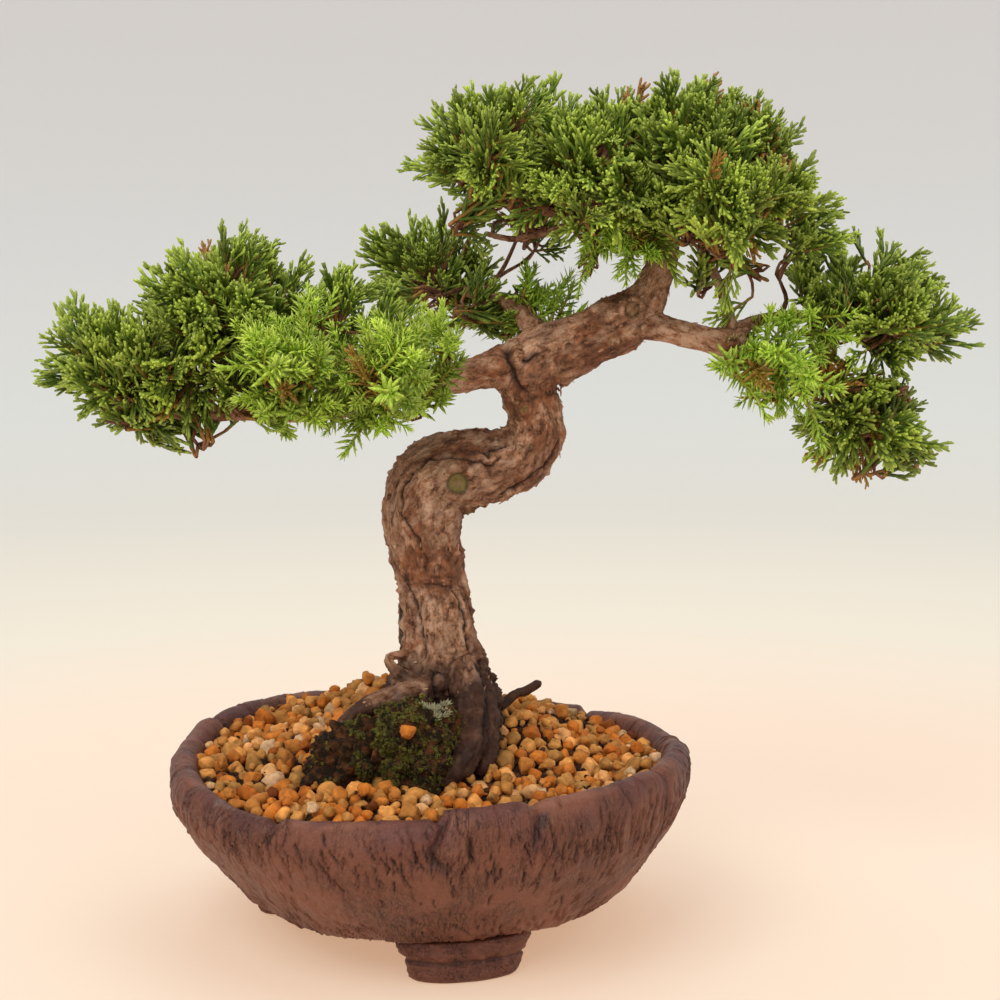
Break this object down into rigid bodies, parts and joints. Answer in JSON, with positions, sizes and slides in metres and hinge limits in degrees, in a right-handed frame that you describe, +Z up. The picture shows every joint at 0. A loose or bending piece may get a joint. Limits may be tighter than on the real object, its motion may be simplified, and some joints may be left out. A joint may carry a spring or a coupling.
{
  "type": "potted juniper bonsai",
  "caption": "Small juniper bonsai with a winding trunk, scale-leaf pads and a grain top dressing, in a hand-pinched unglazed clay bowl on crescent feet.",
  "frame": {"origin": "on the surface it stands on, under the middle of the whole object's box; the pot's axis is 21.2 mm towards -X from it", "axes": "+Z up; -Y is the tree's front, which the viewer faces; +X runs towards the right pad, along the longest extent; Y is the shortest extent"},
  "size_m": [0.2536, 0.14, 0.2274],
  "materials": {
    "clay": "matte",
    "mesh_plastic": "matte",
    "clip_wire": "satin",
    "soil": "matte",
    "grain": "matte",
    "moss": "matte",
    "bark": "matte",
    "scale_leaf": "matte",
    "young_needle": "matte"
  },
  "bodies": {
    "root": {"pot_bowl": "clay", "foot_front": "clay", "foot_right_back": "clay", "foot_left_back": "clay", "drain_mesh": "mesh_plastic", "mesh_clip": "clip_wire", "root_ball_soil": "soil", "grain_dressing": "grain", "trunk_roots_and_limbs": "bark", "moss_mound": "moss", "pad_left_outer": "scale_leaf", "pad_left_inner": "scale_leaf", "pad_left_behind": "scale_leaf", "shoots_under_left_pad": "scale_leaf", "pad_behind_trunk": "scale_leaf", "crown_upper_left": "scale_leaf", "crown_top_middle": "scale_leaf", "crown_top_right": "scale_leaf", "crown_right": "scale_leaf", "crown_right_front": "scale_leaf", "crown_back": "scale_leaf", "pad_right_upper": "scale_leaf", "pad_right_tip": "scale_leaf", "pad_lower_right": "scale_leaf", "juvenile_needles_left": "young_needle", "juvenile_needles_right": "young_needle", "hanging_needles": "young_needle", "tufts_behind_trunk": "young_needle", "crown_middle_front": "young_needle", "needles_under_crown": "young_needle", "needles_on_right_limb": "young_needle"}
  },
  "joints": []
}
